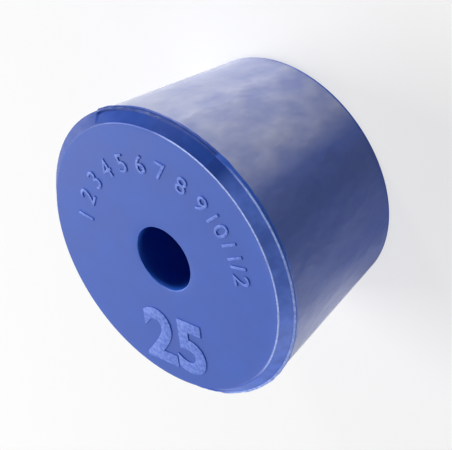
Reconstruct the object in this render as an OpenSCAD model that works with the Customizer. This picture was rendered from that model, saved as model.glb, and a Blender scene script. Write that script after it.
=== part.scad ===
// Tapered rubber stopper with a hole along its axis, moulded in one piece.
// It stands on its small end, with its axis on +Z and its large face on top.

/* [Body] */
// Height from the small end to the large face
height = 25.4; // [12:0.1:60]
// Diameter of the small end, taken to its corner before the edge is rolled
small_end_d = 33.4; // [18:0.1:48]
// Diameter of the tapered wall where it meets the lip
wall_top_d = 40.5; // [28:0.1:60]
// Radius rolled round the edge of the small end
small_edge_r = 0.8; // [0.1:0.05:3]

/* [Crown] */
// Thickness of the lip, which is where the mould parts and the flash is trimmed
lip_h = 0.7; // [0.3:0.05:3]
// How far the lip stands out from the top of the wall
lip_w = 0.25; // [0.05:0.05:1.5]
// Height of the bevel between the lip and the large face
bevel_h = 1.4; // [0.5:0.05:4]
// Width of the bevel, taken along the radius
bevel_w = 1.5; // [0.5:0.05:4]
// Radius that breaks the edge between the bevel and the large face
face_edge_r = 0.3; // [0.05:0.05:1]

/* [Hole] */
// Diameter of the hole
bore_d = 9.1; // [3:0.1:16]
// Width of the broken edge at each end of the hole
mouth_w = 0.2; // [0.05:0.05:1]

/* [Hidden] */

small_r = small_end_d / 2;
wall_top_r = wall_top_d / 2;
lip_r = wall_top_r + lip_w;
lip_top_z = height - bevel_h;
lip_bottom_z = lip_top_z - lip_h;
face_r = lip_r - bevel_w;
bore_r = bore_d / 2;

// Corners of the half section as [radius, height, edge radius], from the axis
// along the small end, up the wall, round the lip and back over the large face
SECTION = [
    [0, 0, 0],
    [small_r, 0, small_edge_r],
    [wall_top_r, lip_bottom_z, 0],
    [lip_r, lip_bottom_z, 0],
    [lip_r, lip_top_z, 0],
    [face_r, height, face_edge_r],
    [0, height, 0],
];

// The core pin runs this far past both ends, so that it cuts them cleanly
CUT_OVER = 1;
REVOLVE_FN = 180;
EDGE_FN = 64;

function corner(i) = let (c = SECTION[(i + len(SECTION)) % len(SECTION)]) [c[0], c[1]];
function unit(v) = v / norm(v);
function towards(i, j) = unit(corner(j) - corner(i));
function half_angle(i) = acos(towards(i, i - 1) * towards(i, i + 1)) / 2;
function tangent_length(i) = SECTION[i][2] / tan(half_angle(i));

// Centre of the arc that rolls corner i
function arc_centre(i) =
    corner(i) + unit(towards(i, i - 1) + towards(i, i + 1)) * SECTION[i][2] / sin(half_angle(i));

// The section with each rolled corner cut off between its two tangent points
function cut_corners() = [
    for (i = [0 : len(SECTION) - 1])
        each SECTION[i][2] == 0
            ? [corner(i)]
            : [for (side = [-1, 1]) corner(i) + towards(i, i + side) * tangent_length(i)]
];

module half_section() {
    polygon(cut_corners());
    for (i = [0 : len(SECTION) - 1])
        if (SECTION[i][2] > 0)
            translate(arc_centre(i)) circle(r = SECTION[i][2], $fn = EDGE_FN);
}

// The pin that leaves the hole, flared where it meets each end
module core_pin() {
    flare_h = mouth_w + CUT_OVER;
    translate([0, 0, -CUT_OVER])
        cylinder(h = height + 2 * CUT_OVER, r = bore_r, $fn = REVOLVE_FN);
    for (end = [0, 1])
        translate([0, 0, end * height])
            mirror([0, 0, end])
                translate([0, 0, -CUT_OVER])
                    cylinder(h = flare_h, r1 = bore_r + flare_h, r2 = bore_r, $fn = REVOLVE_FN);
}

module stopper() {
    color([0.37, 0.45, 0.72])
        difference() {
            rotate_extrude($fn = REVOLVE_FN) half_section();
            core_pin();
        }
}

stopper();
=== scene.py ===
# A laboratory stopper of blue silicone rubber, standing on its small end.
import math

import bpy
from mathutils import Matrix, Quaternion, Vector


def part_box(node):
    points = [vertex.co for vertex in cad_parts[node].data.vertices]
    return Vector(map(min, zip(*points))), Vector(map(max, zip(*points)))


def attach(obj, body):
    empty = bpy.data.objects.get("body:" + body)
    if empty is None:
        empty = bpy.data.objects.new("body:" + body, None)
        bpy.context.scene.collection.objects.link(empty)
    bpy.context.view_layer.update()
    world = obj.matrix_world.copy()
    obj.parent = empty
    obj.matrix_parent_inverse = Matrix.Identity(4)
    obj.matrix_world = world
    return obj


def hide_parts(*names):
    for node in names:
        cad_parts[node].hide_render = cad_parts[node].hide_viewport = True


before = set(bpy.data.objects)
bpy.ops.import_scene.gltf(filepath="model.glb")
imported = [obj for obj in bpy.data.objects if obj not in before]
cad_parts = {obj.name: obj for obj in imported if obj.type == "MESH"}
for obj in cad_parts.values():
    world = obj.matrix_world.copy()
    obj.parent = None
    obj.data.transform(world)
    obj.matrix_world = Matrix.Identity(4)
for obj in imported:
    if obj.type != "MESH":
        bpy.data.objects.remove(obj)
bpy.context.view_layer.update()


# ---- The stopper -------------------------------------------------------------------------------
# One piece of silicone rubber, compression moulded in a tapered steel cavity under a flat top
# plate, round a core pin that leaves the hole. The mould parts at the lip, where a thin flash
# squeezes out. It is torn off, and over a third of the rim it is pared flush with the bevel.

MM = 0.001
SEGMENTS = 512

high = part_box("stopper")[1]
height = high.z
lip_r = high.x

bore_r = 4.55 * MM
mouth_r = 0.10 * MM
small_end_r = 16.7 * MM
small_edge_r = 0.8 * MM
wall_top_r = 20.25 * MM
face_r = 19.0 * MM
bevel_h = 1.4 * MM
lip_h = 0.7 * MM
lip_top = height - bevel_h
lip_foot = lip_top - lip_h
ledge_foot = lip_foot + 0.6 * MM

# The pared part, by its radius and by its bearings round the axis, in degrees from +X
pared_r = 20.5 * MM
pared_from = 118
pared_to = 242

# Points closer than the weld become one, and a ring's own points are found within the slack
weld = 0.005 * MM
ring_slack = 0.002 * MM


def line(start, end, steps):
    """Rings spread evenly from one corner of the section towards the next."""
    (r0, z0), (r1, z1) = start, end
    return [(r0 + (r1 - r0) * i / steps, z0 + (z1 - z0) * i / steps) for i in range(steps)]


def arc(centre, radius, first_deg, last_deg, steps):
    """Rings round a rolled edge of the section, with both ends of the arc."""
    turns = [math.radians(first_deg + (last_deg - first_deg) * i / steps) for i in range(steps + 1)]
    return [(centre[0] + radius * math.cos(t), centre[1] + radius * math.sin(t)) for t in turns]


draft_deg = math.degrees(math.atan2(wall_top_r - small_end_r, lip_foot))
small_edge_c = (small_end_r - small_edge_r * math.tan(math.radians(45 - draft_deg / 2)), small_edge_r)

small_edge = arc(small_edge_c, small_edge_r, -90, -draft_deg, 12)
top_mouth = arc((bore_r + mouth_r, height - mouth_r), mouth_r, 90, 180, 5)
low_mouth = arc((bore_r + mouth_r, mouth_r), mouth_r, 180, 270, 5)

# The lip, from the wall out over the flash's torn edge and in to the foot of the bevel, as distances
# in from the widest point and up from the lip's foot
lip = [
    (lip_r - inward * MM, lip_foot + rise * MM)
    for inward, rise in (
        (0.25, -0.08),
        (0.17, -0.02),
        (0.13, 0.05),
        (0.17, 0.14),
        (0.22, 0.24),
        (0.20, 0.33),
        (0.10, 0.39),
        (0.02, 0.45),
        (0.00, 0.54),
        (0.02, 0.62),
        (0.08, 0.675),
        (0.16, 0.69),
        (0.25, 0.695),
        (0.34, 0.70),
        (0.42, 0.72),
        (0.46, 0.78),
    )
]

# The edge of the face, where the engraved plate is let into the mould
plate_seam = [
    (face_r - inward * MM, height + rise * MM)
    for inward, rise in (
        (-0.09, -0.09),
        (-0.04, -0.03),
        (0.02, -0.005),
        (0.08, -0.001),
        (0.15, 0.0),
        (0.22, 0.0),
        (0.30, 0.0),
    )
]

rings = (
    line(low_mouth[-1], small_edge[0], 8)
    + small_edge
    + line(small_edge[-1], lip[0], 24)[1:]
    + lip
    + line(lip[-1], plate_seam[0], 8)[1:]
    + plate_seam
    + line(plate_seam[-1], top_mouth[0], 12)[1:]
    + top_mouth
    + line(top_mouth[-1], low_mouth[0], 12)[1:]
    + low_mouth
)

bpy.ops.object.select_all(action="DESELECT")
ring_r, ring_z = rings[0]
bpy.ops.mesh.primitive_circle_add(vertices=SEGMENTS, radius=ring_r, location=(0, 0, 0))
stopper = bpy.context.object
stopper.name = "stopper_moulding"
bpy.ops.object.mode_set(mode="EDIT")
bpy.ops.mesh.select_all(action="SELECT")
for next_r, next_z in rings[1:]:
    bpy.ops.mesh.extrude_region_move(TRANSFORM_OT_translate={"value": (0, 0, next_z - ring_z)})
    bpy.ops.transform.resize(
        value=(next_r / ring_r, next_r / ring_r, 1), center_override=(0, 0, next_z)
    )
    ring_r, ring_z = next_r, next_z
bpy.ops.mesh.select_all(action="SELECT")
bpy.ops.mesh.remove_doubles(threshold=weld)
bpy.ops.mesh.normals_make_consistent(inside=False)
bpy.ops.object.mode_set(mode="OBJECT")


def around(point):
    """The bearing of a point round the stopper's axis, in degrees from +X."""
    return math.degrees(math.atan2(point.y, point.x)) % 360


def pick_points(piece, wanted):
    """Selects the points of a piece that a test wants, and no others, and stays in edit mode."""
    bpy.ops.object.mode_set(mode="EDIT")
    bpy.ops.mesh.select_mode(type="VERT")
    bpy.ops.mesh.select_all(action="DESELECT")
    bpy.ops.object.mode_set(mode="OBJECT")
    for point in piece.data.vertices:
        point.select = wanted(point.co)
    bpy.ops.object.mode_set(mode="EDIT")


# Where the flash is pared off, the bevel runs straight on to a plain edge over a plain flank
edge_top, edge_z = plate_seam[0], lip_top
bevel_slope = (edge_top[1] - edge_z) / (pared_r - edge_top[0])
ledge = [ring for ring in lip if ring[1] > ledge_foot] + line(lip[-1], edge_top, 8)[1:]
flank = [ring for ring in lip if lip_foot < ring[1] <= ledge_foot]
for ring_r, ring_z in flank + ledge:
    pick_points(
        stopper,
        lambda co: abs(co.z - ring_z) < ring_slack
        and abs(co.xy.length - ring_r) < ring_slack
        and pared_from < around(co) < pared_to,
    )
    if (ring_r, ring_z) in ledge:
        new_r = ring_r
        new_z = edge_top[1] - bevel_slope * (ring_r - edge_top[0])
    else:
        new_r = wall_top_r + (pared_r - wall_top_r) * (ring_z - lip_foot) / (edge_z - lip_foot)
        new_z = ring_z
    bpy.ops.transform.resize(
        value=(new_r / ring_r, new_r / ring_r, 1), center_override=(0, 0, ring_z)
    )
    bpy.ops.transform.translate(value=(0, 0, new_z - ring_z))
    bpy.ops.object.mode_set(mode="OBJECT")


def roughen(piece, name, wavelength, depth, direction, weight, middle=0.5):
    """Moves a piece's surface by a cloud of that wavelength: both ways, or out only from middle 0."""
    group = piece.vertex_groups.new(name=name)
    for point in piece.data.vertices:
        share = weight(point.co)
        if share > 0:
            group.add([point.index], share, "REPLACE")
    cloud = bpy.data.textures.new(name, "CLOUDS")
    cloud.noise_scale = wavelength
    cloud.noise_depth = 2
    bumps = piece.modifiers.new(name, "DISPLACE")
    bumps.texture = cloud
    bumps.texture_coords = "LOCAL"
    bumps.direction = direction
    bumps.strength = depth
    bumps.mid_level = middle
    bumps.vertex_group = group.name
    bpy.ops.object.modifier_apply(modifier=bumps.name)


# The tear reaches from just under the lip to just over it, and begins close inside the wall
tear_foot = lip_foot - 0.1 * MM
tear_top = lip_top + 0.4 * MM
tear_in = 0.15 * MM
tear_fade = 0.2 * MM
pared_tear = 0.25
tag_deg = 30


def torn_share(co):
    """How much of the tear shows at a point: all of it on the standing flash, little where pared."""
    if not tear_foot < co.z < tear_top:
        return 0
    reach = min(1, max(0, (co.xy.length - wall_top_r + tear_in) / tear_fade))
    return reach * (pared_tear if pared_from < around(co) < pared_to else 1)


def tag_share(co):
    """How much longer the flash is left beside the pared part."""
    near = 1 - (pared_from - around(co)) / tag_deg
    return torn_share(co) * near if 0 < near <= 1 else 0


# The ridge stands just inside the face's edge, and runs this far both ways from its own bearing
ridge_deg = 22
ridge_reach_deg = 90
ridge_fade_deg = 20
ridge_in = 0.11 * MM
ridge_half_w = 0.13 * MM


def turn_from_ridge(point):
    """How far round the axis a point lies from the middle of the ridge, in degrees."""
    return abs((around(point) - ridge_deg + 180) % 360 - 180)


def ridge_share(co):
    """How much of a ridge the seam of the engraved plate leaves: none towards the pared part."""
    ridge = 1 - abs(co.xy.length - face_r + ridge_in) / ridge_half_w
    fade = min(1, max(0, (ridge_reach_deg - turn_from_ridge(co)) / ridge_fade_deg))
    return max(0, ridge) * fade if co.z > lip_top else 0


roughen(stopper, "tear_in_and_out", 1.1 * MM, 0.16 * MM, "NORMAL", torn_share)
roughen(stopper, "tear_up_and_down", 2.0 * MM, 0.10 * MM, "Z", torn_share)
roughen(stopper, "flash_tag", 3.0 * MM, 0.40 * MM, "NORMAL", tag_share, middle=0.1)
roughen(stopper, "plate_ridge", 0.8 * MM, 0.10 * MM, "Z", ridge_share, middle=0.0)
bpy.ops.object.shade_smooth_by_angle(angle=math.radians(30))
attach(stopper, "root")
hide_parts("stopper")


# ---- The raised figures -------------------------------------------------------------------------
# Plain figures cut into the top plate, so that they stand up from the face: 1 to 12 round an arc, as
# on a calendar dial, and the size figure below the hole. They are part of the same moulding.

figure_rise = 0.14 * MM
figure_root = 0.30 * MM
figure_edge = 0.05 * MM
figure_h = 2.6 * MM
figure_swell = 0.02 * MM
figure_arc_r = 13.5 * MM
figure_count = 12
first_figure_deg = 171
last_figure_deg = 9
size_figure_h = 7.6 * MM
size_figure_swell = 0.36 * MM
size_figure_r = 12.8 * MM
size_figure_deg = 270
size_figure_top_deg = 90

# How tall a figure is as a share of its font's size, and how close its points are before they join
font_share = 0.7
figure_weld = 0.004 * MM


def raised_figure(text, tall, swell, bearing_deg, radius, top_deg):
    """A figure standing on the large face at a bearing, with its top turned towards top_deg."""
    bpy.ops.object.select_all(action="DESELECT")
    bpy.ops.object.text_add(location=(0, 0, 0))
    figure = bpy.context.object
    figure.data.body = text
    figure.data.resolution_u = 5
    figure.data.size = tall / font_share
    figure.data.extrude = (figure_rise + figure_root) / 2 - figure_edge
    figure.data.bevel_depth = figure_edge
    figure.data.bevel_resolution = 2
    figure.data.offset = swell - figure_edge
    bpy.ops.object.convert(target="MESH")
    bpy.ops.object.origin_set(type="ORIGIN_GEOMETRY", center="BOUNDS")
    bearing = math.radians(bearing_deg)
    figure.rotation_euler.z = math.radians(top_deg - 90)
    figure.location = (
        radius * math.cos(bearing),
        radius * math.sin(bearing),
        height + (figure_rise - figure_root) / 2,
    )
    bpy.ops.object.transform_apply(location=True, rotation=True, scale=True)
    bpy.ops.object.mode_set(mode="EDIT")
    bpy.ops.mesh.select_all(action="SELECT")
    bpy.ops.mesh.remove_doubles(threshold=figure_weld)
    bpy.ops.mesh.normals_make_consistent(inside=False)
    bpy.ops.object.mode_set(mode="OBJECT")
    return figure


figures = [
    raised_figure(
        "25",
        size_figure_h,
        size_figure_swell,
        size_figure_deg,
        size_figure_r,
        size_figure_top_deg,
    )
]
arc_deg = last_figure_deg - first_figure_deg
for number in range(1, figure_count + 1):
    bearing = first_figure_deg + arc_deg * (number - 1) / (figure_count - 1)
    figures.append(
        raised_figure(str(number), figure_h, figure_swell, bearing, figure_arc_r, bearing)
    )

bpy.ops.object.select_all(action="DESELECT")
for figure in figures:
    figure.select_set(True)
bpy.context.view_layer.objects.active = figures[0]
bpy.ops.object.join()
bpy.ops.object.select_all(action="DESELECT")
bpy.context.view_layer.objects.active = stopper
stopper.select_set(True)
union = stopper.modifiers.new("figures", "BOOLEAN")
union.operation = "UNION"
union.solver = "MANIFOLD"
union.object = figures[0]
bpy.ops.object.modifier_apply(modifier="figures")
bpy.data.objects.remove(figures[0])
bpy.ops.object.shade_smooth_by_angle(angle=math.radians(30))


# ---- The rubber's finishes ----------------------------------------------------------------------
# Every face is the same blue silicone rubber, cast against steel of a different finish: the ground
# top plate, the polished cavity and pin, and the etched bottoms of the figures' cuts. The rim was
# torn and pared afterwards. Light and shade are painted into some colours: a painted sheen on one
# side of the wall, painted light on one side of the rim, the flash and the plate's ridge, and
# painted shade in the rim's deep blue.


def linear(hex_colour):
    """An sRGB hex colour as the linear colour that a shader takes."""
    parts = [int(hex_colour[i : i + 2], 16) / 255 for i in (1, 3, 5)]
    return [p / 12.92 if p <= 0.04045 else ((p + 0.055) / 1.055) ** 2.4 for p in parts] + [1]


def add_node(tree, kind, settings=None, feeds=(), **links):
    """Adds a node with its settings and values, and links other nodes' outputs to its inputs.

    Feeds are the outputs or values for its inputs in their order, and links go by input name.
    """
    node = tree.nodes.new(kind)
    for key, value in (settings or {}).items():
        if key in node.inputs:
            node.inputs[key].default_value = value
        else:
            setattr(node, key, value)
    for place, feed in enumerate(feeds):
        if isinstance(feed, bpy.types.NodeSocket):
            tree.links.new(feed, node.inputs[place])
        else:
            node.inputs[place].default_value = feed
    for key, output in links.items():
        tree.links.new(output, node.inputs[key.replace("_", " ")])
    return node


# What part of the noise gives the clouds their wear and their painted light, and what part their
# roughness
wear_and_light_starts = 0.35
wear_and_light_full = 0.75
gloss_starts = 0.3
gloss_full = 0.7

# Where the painted light on one side starts and where it is full, as the cosine of the turn from
# its middle: 65 and 53 degrees
painted_light_starts = 0.42
painted_light_full = 0.6


def silicone_rubber(name, blue, wear_and_light_colour, roughness, grain, swirl, stretch=1, painted_light=None, shine=None):
    """Blue silicone rubber. Roughness is its middle and spread, grain and swirl a size and depth.

    It is worn in clouds all over, or, where painted_light gives a bearing and a share, it is painted
    pale in clouds on that side of the stopper only, as painted light, with at least that share of
    wear_and_light_colour.
    """
    material = bpy.data.materials.new(name)
    material.use_nodes = True
    tree = material.node_tree
    tree.nodes.clear()
    place = add_node(tree, "ShaderNodeTexCoord").outputs["Object"]
    drawn = add_node(tree, "ShaderNodeMapping", {"Scale": (1, 1, 1 / stretch)}, Vector=place)
    grains = add_node(
        tree,
        "ShaderNodeTexNoise",
        {"Scale": 1 / grain[0], "Detail": 3, "Roughness": 0.6},
        Vector=place,
    )
    swirls = add_node(
        tree,
        "ShaderNodeTexNoise",
        {"Scale": 1 / swirl[0], "Detail": 2, "Roughness": 0.5},
        Vector=drawn.outputs["Vector"],
    )
    wear_and_light_clouds = add_node(
        tree,
        "ShaderNodeMapRange",
        {
            "From Min": wear_and_light_starts,
            "From Max": wear_and_light_full,
            "To Min": painted_light[1] if painted_light else 0.0,
            "To Max": 1.0,
        },
        Value=swirls.outputs["Fac"],
    )
    wear_and_light = wear_and_light_clouds.outputs["Result"]
    if painted_light:
        turn = math.radians(painted_light[0])
        level = add_node(
            tree, "ShaderNodeVectorMath", {"operation": "MULTIPLY"}, [place, (1, 1, 0)]
        )
        outward = add_node(
            tree, "ShaderNodeVectorMath", {"operation": "NORMALIZE"}, [level.outputs["Vector"]]
        )
        facing = add_node(
            tree,
            "ShaderNodeVectorMath",
            {"operation": "DOT_PRODUCT"},
            [outward.outputs["Vector"], (math.cos(turn), math.sin(turn), 0)],
        )
        reach = add_node(
            tree,
            "ShaderNodeMapRange",
            {"From Min": painted_light_starts, "From Max": painted_light_full},
            Value=facing.outputs["Value"],
        )
        share = add_node(
            tree, "ShaderNodeMath", {"operation": "MULTIPLY"}, [wear_and_light, reach.outputs["Result"]]
        )
        wear_and_light = share.outputs["Value"]
    tint = add_node(
        tree,
        "ShaderNodeMixRGB",
        {"Color1": linear(blue), "Color2": linear(wear_and_light_colour)},
        Fac=wear_and_light,
    )
    gloss = add_node(
        tree,
        "ShaderNodeMapRange",
        {
            "From Min": gloss_starts,
            "From Max": gloss_full,
            "To Min": roughness[0] - roughness[1],
            "To Max": roughness[0] + roughness[1],
        },
        Value=swirls.outputs["Fac"],
    )
    slow = add_node(
        tree, "ShaderNodeBump", {"Strength": 1, "Distance": swirl[1]}, Height=swirls.outputs["Fac"]
    )
    fine = add_node(
        tree,
        "ShaderNodeBump",
        {"Strength": 1, "Distance": grain[1]},
        Height=grains.outputs["Fac"],
        Normal=slow.outputs["Normal"],
    )
    rubber = add_node(
        tree,
        "ShaderNodeBsdfPrincipled",
        {"IOR": 1.43, **(shine or {})},
        Base_Color=tint.outputs["Color"],
        Roughness=gloss.outputs["Result"],
        Normal=fine.outputs["Normal"],
    )
    if shine and "Coat Weight" in shine:
        turned = add_node(tree, "ShaderNodeTangent", {"direction_type": "RADIAL", "axis": "Z"})
        tree.links.new(turned.outputs["Tangent"], rubber.inputs["Tangent"])
        tree.links.new(slow.outputs["Normal"], rubber.inputs["Coat Normal"])
    add_node(tree, "ShaderNodeOutputMaterial", Surface=rubber.outputs["BSDF"])
    return material


# Bearings of the middle of the painted light on the rim and of the painted sheen on the wall, and
# of the start of the rim's painted shade
rim_painted_light_deg = -10
wall_painted_sheen_deg = 105
rim_shade_from = 60

finishes = [
    # The large face is dull, cast against a ground plate, with almost no shine. The grinding is a
    # few hundredths of a millimetre wide, and is drawn 0.3 mm across, so that it shows
    silicone_rubber(
        "silicone_ground_plate",
        "#294BA0",
        "#2F52A8",
        (0.45, 0.05),
        (0.3 * MM, 0.006 * MM),
        (5 * MM, 0.02 * MM),
        shine={"IOR": 1.33},
    ),
    # The wall takes the lengthwise polish of the cavity: a broad silky light, stronger at a low
    # angle. One side is painted pale grey as a painted sheen, in soft clouds 3 mm round and 5 mm
    # along. The fine grain of the polish is drawn 0.5 mm across, so that it shows
    silicone_rubber(
        "silicone_polished_cavity_painted_sheen",
        "#2B4DA4",
        "#9399BA",
        (0.38, 0.06),
        (0.5 * MM, 0.003 * MM),
        (3.0 * MM, 0.25 * MM),
        stretch=1.6,
        painted_light=(wall_painted_sheen_deg, 0.45),
        shine={
            "IOR": 1.5,
            "Anisotropic": 0.9,
            "Anisotropic Rotation": 0.25,
            "Coat Weight": 1.0,
            "Coat IOR": 1.8,
            "Coat Roughness": 0.25,
            "Sheen Weight": 0.15,
            "Sheen Roughness": 0.45,
        },
    ),
    # The bevel is painted deep blue as painted shade, and painted pale on one side as painted light,
    # in soft blotches 2 mm across
    silicone_rubber(
        "silicone_rim_painted_light_and_shade",
        "#17357C",
        "#5A78D0",
        (0.45, 0.05),
        (0.4 * MM, 0.010 * MM),
        (2.0 * MM, 0.05 * MM),
        painted_light=(rim_painted_light_deg, 0.6),
        shine={"IOR": 1.25},
    ),
    # The figures' tops are pale and sparkling, cast against etched steel; the 0.15 mm etch is drawn
    # 0.25 mm across, so that it shows
    silicone_rubber(
        "silicone_etched_figure",
        "#3556B2",
        "#6480CC",
        (0.5, 0.05),
        (0.25 * MM, 0.02 * MM),
        (0.5 * MM, 0.01 * MM),
    ),
    # The bore, the small end's edge and most of the lip's flank are washed clean: deep blue, with
    # a plain soft shine
    silicone_rubber(
        "silicone_core_pin",
        "#1650B4",
        "#1C52B4",
        (0.4, 0.05),
        (0.4 * MM, 0.004 * MM),
        (3 * MM, 0.02 * MM),
        shine={"IOR": 1.5},
    ),
    # The flash is thin and stretched where it tore, which makes it a little paler; on one side it is
    # painted pale and streaky as a painted highlight
    silicone_rubber(
        "silicone_torn_flash_painted_highlight",
        "#2F53B0",
        "#B0C4FC",
        (0.55, 0.08),
        (0.25 * MM, 0.02 * MM),
        (0.6 * MM, 0.03 * MM),
        painted_light=(rim_painted_light_deg, 0.45),
        shine={"IOR": 1.3},
    ),
    # The ridge round the engraved plate is painted pale on one side as a painted highlight, in sparks
    # a third of a millimetre across
    silicone_rubber(
        "silicone_edge_painted_highlight",
        "#2B4CA6",
        "#B8C8F8",
        (0.45, 0.05),
        (0.25 * MM, 0.02 * MM),
        (0.35 * MM, 0.01 * MM),
        painted_light=(ridge_deg, 0.5),
    ),
    # The part of the bevel before the paring is painted deep blue as painted shade, smoother, with
    # little shine
    silicone_rubber(
        "silicone_rim_painted_shade",
        "#17367F",
        "#1B3D8A",
        (0.34, 0.04),
        (0.4 * MM, 0.004 * MM),
        (2.0 * MM, 0.03 * MM),
        shine={"IOR": 1.25},
    ),
]
plate, cavity, rim_painted_light_and_shade, etched, pin, flash, edge_painted_highlight, rim_painted_shade = range(len(finishes))
stopper.data.materials.clear()
for finish in finishes:
    stopper.data.materials.append(finish)

# Where the finishes end: heights, radii, distances from the face's edge, and a bearing in degrees
figure_top = height + figure_rise - figure_edge
face_foot = height - 0.1 * MM
bevel_foot = lip_top - 0.1 * MM
flash_foot = lip_top - 0.3 * MM
flank_foot = lip_foot - 0.03 * MM
small_face_top = 0.01 * MM
figures_r = face_r - 1 * MM
flash_r = lip_r - 0.3 * MM
hole_r = bore_r + mouth_r
edge_highlight_in = 0.15 * MM
edge_highlight_out = 0.05 * MM
rolled_in = 0.3 * MM
rolled_from = 110

# A face counts as level within 60 degrees of flat, and as part of a slope beyond 14
level_cosine = 0.5
slope_cosine = 0.97


def finish_of(polygon):
    """The finish of one face, by its place on the stopper and the way it points."""
    out = polygon.center.xy.length
    up = polygon.center.z
    bearing = around(polygon.center)
    level = abs(polygon.normal.z) > level_cosine
    sloped = polygon.normal.z < slope_cosine
    on_ridge = -edge_highlight_in < out - face_r < edge_highlight_out
    on_rolled_edge = face_r - rolled_in < out < face_r and rolled_from < bearing < pared_to
    rim_shade_span = rim_shade_from < bearing < pared_from
    if up > figure_top and out < figures_r:
        return etched
    # The plate's ridge takes the painted highlight
    if up > lip_top and on_ridge and turn_from_ridge(polygon.center) < ridge_reach_deg:
        return edge_painted_highlight
    # The rolled edge and the pared bevel take the rim's deep blue, which is painted shade there
    if up > lip_top and on_rolled_edge and sloped:
        return rim_painted_light_and_shade
    if up > flash_foot and out > face_r and pared_from <= bearing <= pared_to:
        return rim_painted_light_and_shade
    # Before the paring the rim takes its darker copy, painted shade
    if up > flash_foot and out > face_r and rim_shade_span:
        return rim_painted_shade
    # The standing flash is painted pale on the near side as a painted highlight
    if up > flash_foot and out > flash_r and level:
        return flash
    # The rest of the bevel is painted deep blue as shade and painted pale on the near side as light
    if up > bevel_foot and out > face_r:
        return rim_painted_light_and_shade
    if up > flank_foot and out > face_r:
        return plate if rim_shade_span else pin
    if (up > face_foot or up < small_face_top) and out > hole_r:
        return plate
    if out < hole_r or up < small_edge_r:
        return pin
    return cavity


for polygon in stopper.data.polygons:
    polygon.material_index = finish_of(polygon)


# ---- The floor ---------------------------------------------------------------------------------
# Matt white paper, far wider than the view. It shows white and takes the stopper's soft shadow,
# which is lifted for the camera, and it throws less than half of the light back up.

floor_w = 4
floor_roughness = 0.9
floor_bounce = 0.4
floor_white = 1.0
shadow_lift = 0.7

bpy.ops.object.select_all(action="DESELECT")
bpy.ops.mesh.primitive_plane_add(size=floor_w)
floor = bpy.context.object
floor.name = "floor"


def seen_share(tree):
    """1 for a ray from the camera, or one that gloss or glass sends on, and 0 for other light."""
    rays = add_node(tree, "ShaderNodeLightPath")
    straight = add_node(
        tree,
        "ShaderNodeMath",
        {"operation": "ADD"},
        [rays.outputs["Is Camera Ray"], rays.outputs["Is Glossy Ray"]],
    )
    seen = add_node(
        tree,
        "ShaderNodeMath",
        {"operation": "ADD", "use_clamp": True},
        [straight.outputs["Value"], rays.outputs["Is Transmission Ray"]],
    )
    return seen.outputs["Value"]


paper = bpy.data.materials.new("white_paper")
paper.use_nodes = True
tree = paper.node_tree
tree.nodes.clear()
white = add_node(
    tree,
    "ShaderNodeMixRGB",
    {"Color1": (floor_bounce,) * 3 + (1,), "Color2": (floor_white,) * 3 + (1,)},
    Fac=seen_share(tree),
)
lit = add_node(
    tree,
    "ShaderNodeBsdfPrincipled",
    {"Roughness": floor_roughness},
    Base_Color=white.outputs["Color"],
)
rays = add_node(tree, "ShaderNodeLightPath")
lift = add_node(
    tree,
    "ShaderNodeMath",
    {"operation": "MULTIPLY"},
    [rays.outputs["Is Camera Ray"], shadow_lift],
)
plain = add_node(tree, "ShaderNodeEmission", {"Strength": 1.0})
mixed = add_node(
    tree,
    "ShaderNodeMixShader",
    feeds=[lift.outputs["Value"], lit.outputs["BSDF"], plain.outputs["Emission"]],
)
add_node(tree, "ShaderNodeOutputMaterial", Surface=mixed.outputs["Shader"])
floor.data.materials.append(paper)


# ---- The lamps ---------------------------------------------------------------------------------
# A studio with soft lamps round the stopper, in white surroundings that the camera and gloss see
# and that add no other light. One narrow hard lamp hangs straight overhead. Its cone ends at the
# lip, and it reaches the large face and the side of the bevel that slopes away from the others.

lamp_distance = 0.6
large_lamp = 0.35
small_lamp = 0.1
low_deg = 5
spot_power = 6.0
spot_r = 0.05 * MM
spot_blend = 0.01
camera_side = math.radians(41)
world = bpy.data.worlds.new("studio")
bpy.context.scene.world = world
world.use_nodes = True
walls = world.node_tree.nodes["Background"]
walls.inputs["Color"].default_value = (1, 1, 1, 1)
world.node_tree.links.new(seen_share(world.node_tree), walls.inputs["Strength"])


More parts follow.
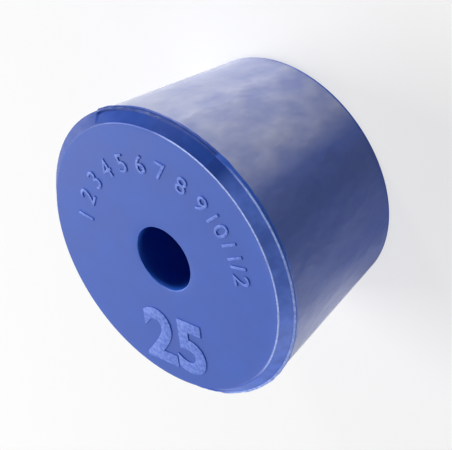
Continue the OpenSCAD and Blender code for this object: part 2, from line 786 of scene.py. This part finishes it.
def soft_lamp(name, side_deg, rise_deg, power, size):
    """A square soft lamp turned to the stopper, at a bearing from the camera's side and a rise."""
    side = camera_side + math.radians(side_deg)
    rise = math.radians(rise_deg)
    place = Vector(
        (math.cos(side) * math.cos(rise), math.sin(side) * math.cos(rise), math.sin(rise))
    ) * lamp_distance
    bpy.ops.object.light_add(type="AREA", location=place)
    lamp = bpy.context.object
    lamp.name = name
    lamp.data.size = size
    lamp.data.energy = power
    lamp.rotation_euler = (Vector((0, 0, height / 2)) - place).to_track_quat("-Z", "Y").to_euler()


bpy.ops.object.light_add(type="SPOT", location=(0, 0, lamp_distance))
top_spot = bpy.context.object
top_spot.name = "top_spot"
top_spot.data.energy = spot_power
top_spot.data.shadow_soft_size = spot_r
top_spot.data.spot_size = 2 * math.atan(lip_r / (lamp_distance - lip_top))
top_spot.data.spot_blend = spot_blend
soft_lamp("key", 145, 34, 3.5, large_lamp)
soft_lamp("back", 180, 42, 0.5, large_lamp)
soft_lamp("back_low", 140, low_deg, 0.2, small_lamp)
soft_lamp("left_low", 76, low_deg, 3.2, small_lamp)
soft_lamp("right_low", 260, low_deg, 1.5, small_lamp)
soft_lamp("near_right_low", 295, low_deg, 0.8, small_lamp)
soft_lamp("near_low", 45, low_deg, 0.45, small_lamp)


# ---- The camera --------------------------------------------------------------------------------
# It looks down on the large face and is rolled, so that the stopper lies on its side in the view.

camera_out = 200.9 * MM
camera_up = 164.55 * MM
camera_roll = math.radians(-124.85)
aim_across = -0.988 * MM
aim_up = 14.216 * MM
toward = Vector((math.cos(camera_side), math.sin(camera_side), 0))
across = Vector((-toward.y, toward.x, 0))
bpy.ops.object.camera_add(location=toward * camera_out + Vector((0, 0, camera_up)))
camera = bpy.context.object
aim = across * aim_across + Vector((0, 0, aim_up))
camera.rotation_mode = "QUATERNION"
camera.rotation_quaternion = (aim - camera.location).to_track_quat("-Z", "Y") @ Quaternion(
    (0, 0, 1), camera_roll
)
camera.data.lens = 153.95
camera.data.sensor_width = 36
bpy.context.scene.camera = camera
bpy.context.scene.view_settings.view_transform = "Standard"
